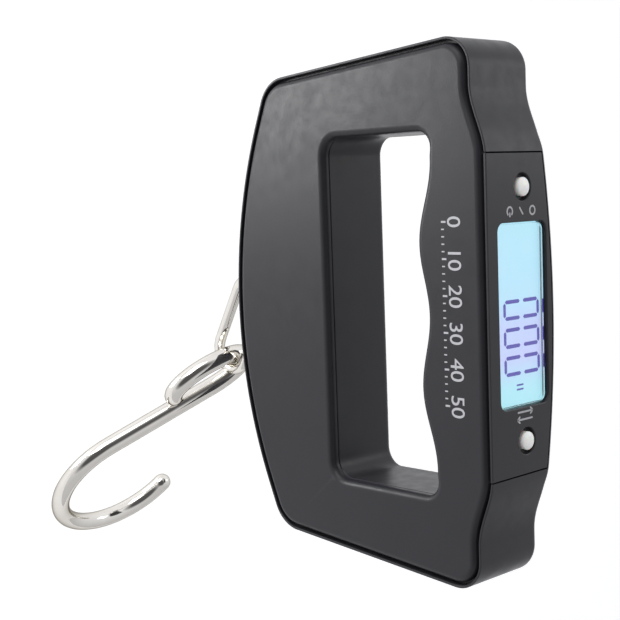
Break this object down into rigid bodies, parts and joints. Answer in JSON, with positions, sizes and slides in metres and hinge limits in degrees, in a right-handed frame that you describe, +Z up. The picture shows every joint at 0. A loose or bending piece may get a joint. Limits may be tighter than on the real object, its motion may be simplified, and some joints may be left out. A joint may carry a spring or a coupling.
{
  "type": "digital luggage scale",
  "caption": "Hand-held digital luggage scale: a flat frame with a hand opening, a lit display and buttons on its top edge, and a swivelling hook below.",
  "frame": {"origin": "middle of the wavy finger edge that the hand pulls on, half way through the case's depth", "axes": "+Z up as the scale is held, display on top and hook below; -Y out of the front face; +X to the right seen from the front"},
  "size_m": [0.1299, 0.0541, 0.1452],
  "materials": {
    "case_plastic": "satin charcoal moulded plastic with a very fine grain",
    "panel_plastic": "satin charcoal moulded plastic, slightly darker insert",
    "button_plastic": "off-white translucent moulded plastic",
    "clear_plastic": "clear acrylic window",
    "display_glass": "lit liquid crystal cell, pale cyan to lavender",
    "backlight": "white light guide",
    "white_plastic": "natural white plastic",
    "zebra_rubber": "layered conductive rubber strip",
    "board": "green solder mask on fibreglass",
    "chip_plastic": "black moulded epoxy",
    "alloy": "milled aluminium alloy",
    "zinc_steel": "zinc plated steel",
    "chrome": "polished chrome plated steel wire",
    "gauge_film": "polyimide strain gauge film under clear lacquer",
    "battery_jacket": "printed film over a steel can, plain bands",
    "lead_insulation": "red vinyl lead insulation",
    "cable_jacket": "grey vinyl cable jacket"
  },
  "bodies": {
    "case": {"front_cover": "case_plastic", "rear_shell": "case_plastic", "display_panel": "panel_plastic", "case_screw_1": "zinc_steel", "case_screw_2": "zinc_steel", "case_screw_3": "zinc_steel", "case_screw_4": "zinc_steel", "display_window": "clear_plastic", "lcd_glass": "display_glass", "lcd_backlight": "backlight", "elastomer_connector": "zebra_rubber", "lcd_frame": "white_plastic", "main_board": "board", "controller_chip": "chip_plastic", "amplifier_chip": "chip_plastic", "tare_switch": "chip_plastic", "unit_switch": "chip_plastic", "load_cell": "alloy", "load_cell_base": "zinc_steel", "load_cell_screw_left": "zinc_steel", "load_cell_screw_right": "zinc_steel", "strain_gauge_left": "gauge_film", "strain_gauge_right": "gauge_film", "thrust_washer": "zinc_steel", "battery_left": "battery_jacket", "battery_right": "battery_jacket", "battery_spring_left": "zinc_steel", "battery_spring_right": "zinc_steel", "nub_contact_left": "zinc_steel", "nub_contact_right": "zinc_steel", "spring_contact_left": "zinc_steel", "spring_contact_right": "zinc_steel", "battery_lead_left": "lead_insulation", "battery_lead_right": "lead_insulation", "series_lead": "lead_insulation", "load_cell_cable": "cable_jacket"},
    "load_eye": {"load_eye": "chrome", "eye_nut": "zinc_steel"},
    "link": {"link": "chrome"},
    "hook": {"hook": "chrome"},
    "tare_button": {"tare_button": "button_plastic", "tare_plunger": "white_plastic"},
    "unit_button": {"unit_button": "button_plastic", "unit_plunger": "white_plastic"},
    "battery_door_left": {"battery_door_left": "case_plastic"},
    "battery_door_right": {"battery_door_right": "case_plastic"}
  },
  "joints": [
    {"name": "eye_swivel", "type": "hinge", "parent": "case", "child": "load_eye", "pos_m": [0, 0, -0.068], "axis": [0, 0, 1], "continuous": true},
    {"name": "link_swing", "type": "hinge", "parent": "load_eye", "child": "link", "pos_m": [0, 0, -0.0719], "axis": [0, 1, 0], "range_deg": [-20, 140]},
    {"name": "hook_swing", "type": "hinge", "parent": "link", "child": "hook", "pos_m": [0.01888, 0, -0.0828], "axis": [0.6561, 0, 0.7547], "range_deg": [-47, 83]},
    {"name": "tare_press", "type": "slide", "parent": "case", "child": "tare_button", "axis": [0, 0, -1], "range_m": [0, 0.0006], "stiffness_N_per_m": 400},
    {"name": "unit_press", "type": "slide", "parent": "case", "child": "unit_button", "axis": [0, 0, -1], "range_m": [0, 0.0006], "stiffness_N_per_m": 400},
    {"name": "battery_door_left_slide", "type": "slide", "parent": "case", "child": "battery_door_left", "axis": [-1, 0, 0], "range_m": [0, 0.016]},
    {"name": "battery_door_right_slide", "type": "slide", "parent": "case", "child": "battery_door_right", "axis": [1, 0, 0], "range_m": [0, 0.016]}
  ]
}
